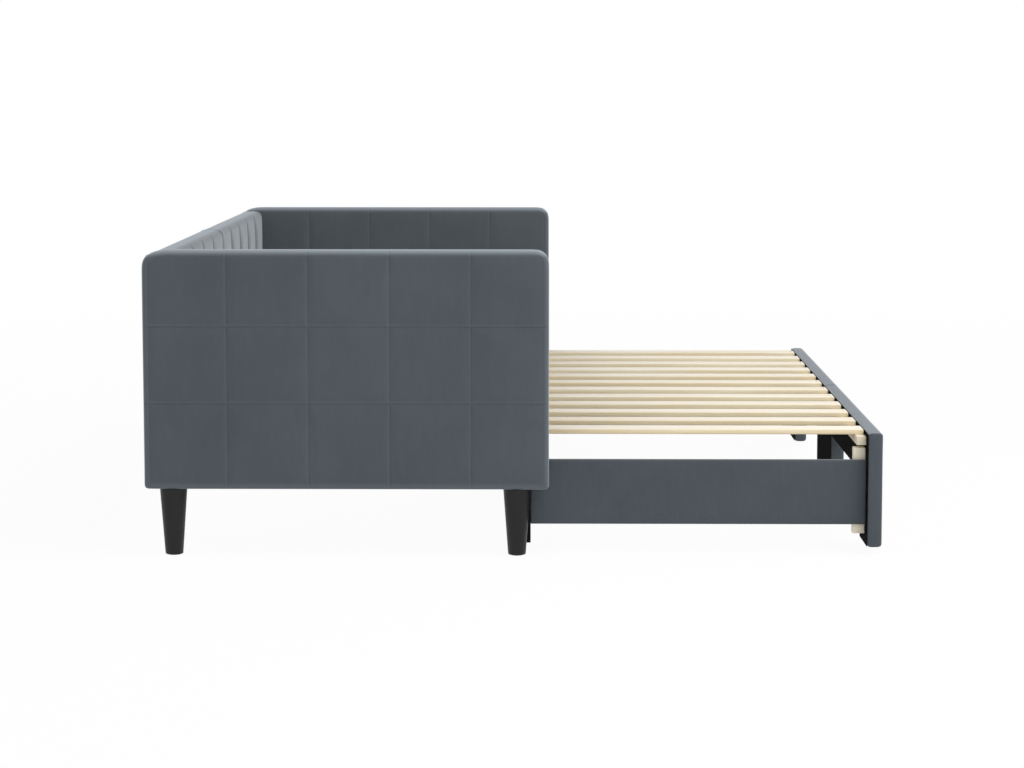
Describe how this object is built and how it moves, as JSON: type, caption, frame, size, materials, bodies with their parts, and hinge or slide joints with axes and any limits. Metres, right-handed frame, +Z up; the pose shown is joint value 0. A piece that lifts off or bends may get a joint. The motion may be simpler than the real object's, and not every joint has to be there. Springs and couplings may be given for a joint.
{
  "type": "trundle bed",
  "caption": "Upholstered daybed with a padded backrest and arms on tapered legs, and a slatted trundle on small wheels that rolls out from under it.",
  "frame": {"origin": "on the floor, at the middle of the outline with the trundle pulled out", "axes": "+X out of the open front, the way the trundle rolls out; +Y along the length; +Z up"},
  "size_m": [1.684, 2.1, 0.7],
  "materials": {
    "velvet": "dark grey velvet over foam, stitched",
    "lining": "black non-woven lining",
    "chipboard": "raw board",
    "black_board": "black laminate on board",
    "pine": "planed raw pine",
    "leg_plastic": "satin black",
    "wheel_plastic": "black nylon",
    "steel": "zinc plated",
    "screw_steel": "yellow zinc plated",
    "black_steel": "black powder coat"
  },
  "bodies": {
    "daybed": {"arm_left_board": "chipboard", "arm_left_cover": "velvet", "arm_right_board": "chipboard", "arm_right_cover": "velvet", "back_left_board": "chipboard", "back_left_cover": "velvet", "back_right_board": "chipboard", "back_right_cover": "velvet", "rail_board": "chipboard", "rail_cover": "velvet", "bed_ledge_front": "pine", "bed_ledge_back": "pine", "bed_slats": "pine", "leg_front_left": "leg_plastic", "leg_front_right": "leg_plastic", "leg_back_left": "leg_plastic", "leg_back_right": "leg_plastic", "leg_blocks": "pine", "leg_plates": "steel", "leg_studs": "steel", "corner_brackets": "steel", "back_joining_plates": "steel", "bed_bolts": "steel", "bed_screws": "screw_steel"},
    "trundle": {"trundle_front_left_board": "chipboard", "trundle_front_left_cover": "velvet", "trundle_front_right_board": "chipboard", "trundle_front_right_cover": "velvet", "trundle_front_lining": "lining", "trundle_end_left_board": "chipboard", "trundle_end_left_cover": "velvet", "trundle_end_right_board": "chipboard", "trundle_end_right_cover": "velvet", "trundle_back_left_board": "black_board", "trundle_back_right_board": "black_board", "trundle_ledge_front": "pine", "trundle_ledge_back": "pine", "trundle_corner_posts": "pine", "trundle_joining_plates": "black_steel", "castor_brackets": "black_steel", "castor_axles": "steel", "trundle_screws": "screw_steel", "trundle_slat_1": "pine", "trundle_slat_2": "pine", "trundle_slat_3": "pine", "trundle_slat_4": "pine", "trundle_slat_5": "pine", "trundle_slat_6": "pine", "trundle_slat_7": "pine", "trundle_slat_8": "pine", "trundle_slat_9": "pine", "trundle_slat_10": "pine", "trundle_slat_11": "pine", "trundle_slat_12": "pine"},
    "wheel_front_left": {"wheel_front_left": "wheel_plastic"},
    "wheel_front_middle": {"wheel_front_middle": "wheel_plastic"},
    "wheel_front_right": {"wheel_front_right": "wheel_plastic"},
    "wheel_back_left": {"wheel_back_left": "wheel_plastic"},
    "wheel_back_middle": {"wheel_back_middle": "wheel_plastic"},
    "wheel_back_right": {"wheel_back_right": "wheel_plastic"}
  },
  "joints": [
    {"name": "trundle_slide", "type": "slide", "parent": "daybed", "child": "trundle", "axis": [1, 0, 0], "range_m": [-0.762, 0.3]},
    {"name": "wheel_front_left_spin", "type": "hinge", "parent": "trundle", "child": "wheel_front_left", "pos_m": [0.825, -0.135, 0.013], "axis": [0, 1, 0], "continuous": true},
    {"name": "wheel_front_middle_spin", "type": "hinge", "parent": "trundle", "child": "wheel_front_middle", "pos_m": [0.825, 0, 0.013], "axis": [0, 1, 0], "continuous": true},
    {"name": "wheel_front_right_spin", "type": "hinge", "parent": "trundle", "child": "wheel_front_right", "pos_m": [0.825, 0.135, 0.013], "axis": [0, 1, 0], "continuous": true},
    {"name": "wheel_back_left_spin", "type": "hinge", "parent": "trundle", "child": "wheel_back_left", "pos_m": [0.003, -0.96, 0.013], "axis": [0, 1, 0], "continuous": true},
    {"name": "wheel_back_middle_spin", "type": "hinge", "parent": "trundle", "child": "wheel_back_middle", "pos_m": [0.003, 0, 0.013], "axis": [0, 1, 0], "continuous": true},
    {"name": "wheel_back_right_spin", "type": "hinge", "parent": "trundle", "child": "wheel_back_right", "pos_m": [0.003, 0.96, 0.013], "axis": [0, 1, 0], "continuous": true}
  ],
  "couplings": [
    {"joint": "wheel_front_left_spin", "follows": "trundle_slide", "rad_per_m": 76.923},
    {"joint": "wheel_front_middle_spin", "follows": "trundle_slide", "rad_per_m": 76.923},
    {"joint": "wheel_front_right_spin", "follows": "trundle_slide", "rad_per_m": 76.923},
    {"joint": "wheel_back_left_spin", "follows": "trundle_slide", "rad_per_m": 76.923},
    {"joint": "wheel_back_middle_spin", "follows": "trundle_slide", "rad_per_m": 76.923},
    {"joint": "wheel_back_right_spin", "follows": "trundle_slide", "rad_per_m": 76.923}
  ]
}
